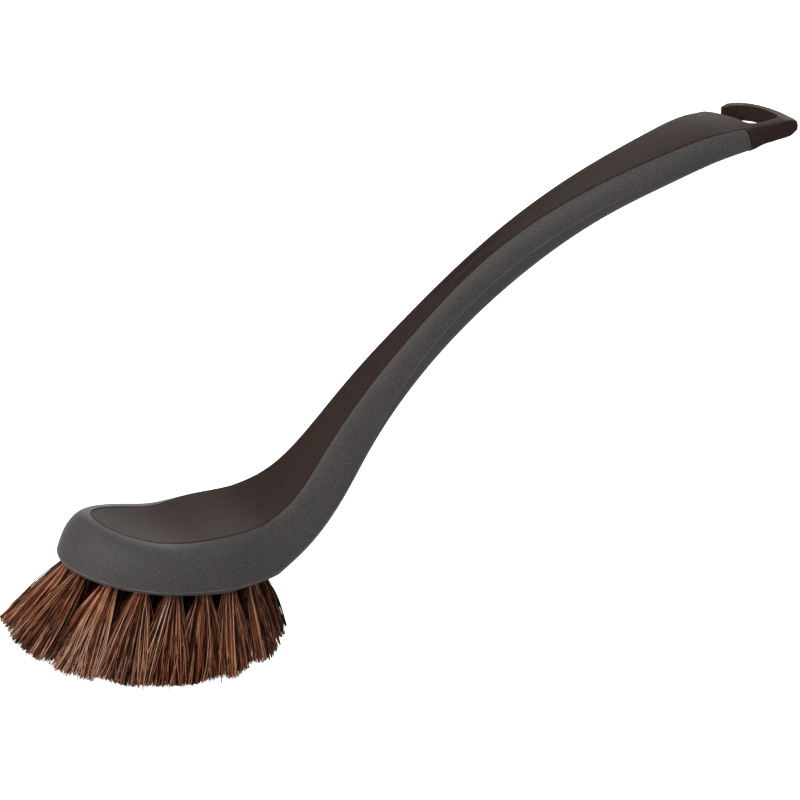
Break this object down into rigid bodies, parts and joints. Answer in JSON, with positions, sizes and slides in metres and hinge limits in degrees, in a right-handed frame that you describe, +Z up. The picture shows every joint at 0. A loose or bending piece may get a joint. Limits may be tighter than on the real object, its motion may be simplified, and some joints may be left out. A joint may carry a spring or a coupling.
{
  "type": "dish brush",
  "caption": "Dish brush with a dark curved handle, an open hanging hook at its end, a soft grey grip, and an oval head of mixed brown natural bristle.",
  "frame": {"origin": "centre of the brush's outer box in plan, on the level of the lowest bristle tips", "axes": "+X from the head's nose towards the hook, +Y across the brush to the side with the hook's open mouth, +Z up, away from the bristle tips"},
  "size_m": [0.2368, 0.0714, 0.1985],
  "materials": {
    "hard_plastic": "matte with a fine speckle, dark brown-black",
    "soft_grip": "soft-touch matte, dark grey",
    "bristle": "natural fibre, mixed black, brown, tan and cream",
    "anchor_metal": "plain wire strip"
  },
  "bodies": {
    "root": {"core": "hard_plastic", "grip": "soft_grip", "tuft_01": "bristle", "tuft_02": "bristle", "tuft_03": "bristle", "tuft_04": "bristle", "tuft_05": "bristle", "tuft_06": "bristle", "tuft_07": "bristle", "tuft_08": "bristle", "tuft_09": "bristle", "tuft_10": "bristle", "tuft_11": "bristle", "tuft_12": "bristle", "tuft_13": "bristle", "tuft_14": "bristle", "tuft_15": "bristle", "tuft_16": "bristle", "tuft_17": "bristle", "tuft_18": "bristle", "tuft_19": "bristle", "tuft_20": "bristle", "tuft_21": "bristle", "tuft_22": "bristle", "tuft_23": "bristle", "tuft_24": "bristle", "tuft_25": "bristle", "tuft_26": "bristle", "tuft_27": "bristle", "tuft_28": "bristle", "tuft_29": "bristle", "anchor_01": "anchor_metal", "anchor_02": "anchor_metal", "anchor_03": "anchor_metal", "anchor_04": "anchor_metal", "anchor_05": "anchor_metal", "anchor_06": "anchor_metal", "anchor_07": "anchor_metal", "anchor_08": "anchor_metal", "anchor_09": "anchor_metal", "anchor_10": "anchor_metal", "anchor_11": "anchor_metal", "anchor_12": "anchor_metal", "anchor_13": "anchor_metal", "anchor_14": "anchor_metal", "anchor_15": "anchor_metal", "anchor_16": "anchor_metal", "anchor_17": "anchor_metal", "anchor_18": "anchor_metal", "anchor_19": "anchor_metal", "anchor_20": "anchor_metal", "anchor_21": "anchor_metal", "anchor_22": "anchor_metal", "anchor_23": "anchor_metal", "anchor_24": "anchor_metal", "anchor_25": "anchor_metal", "anchor_26": "anchor_metal", "anchor_27": "anchor_metal", "anchor_28": "anchor_metal", "anchor_29": "anchor_metal"}
  },
  "joints": []
}
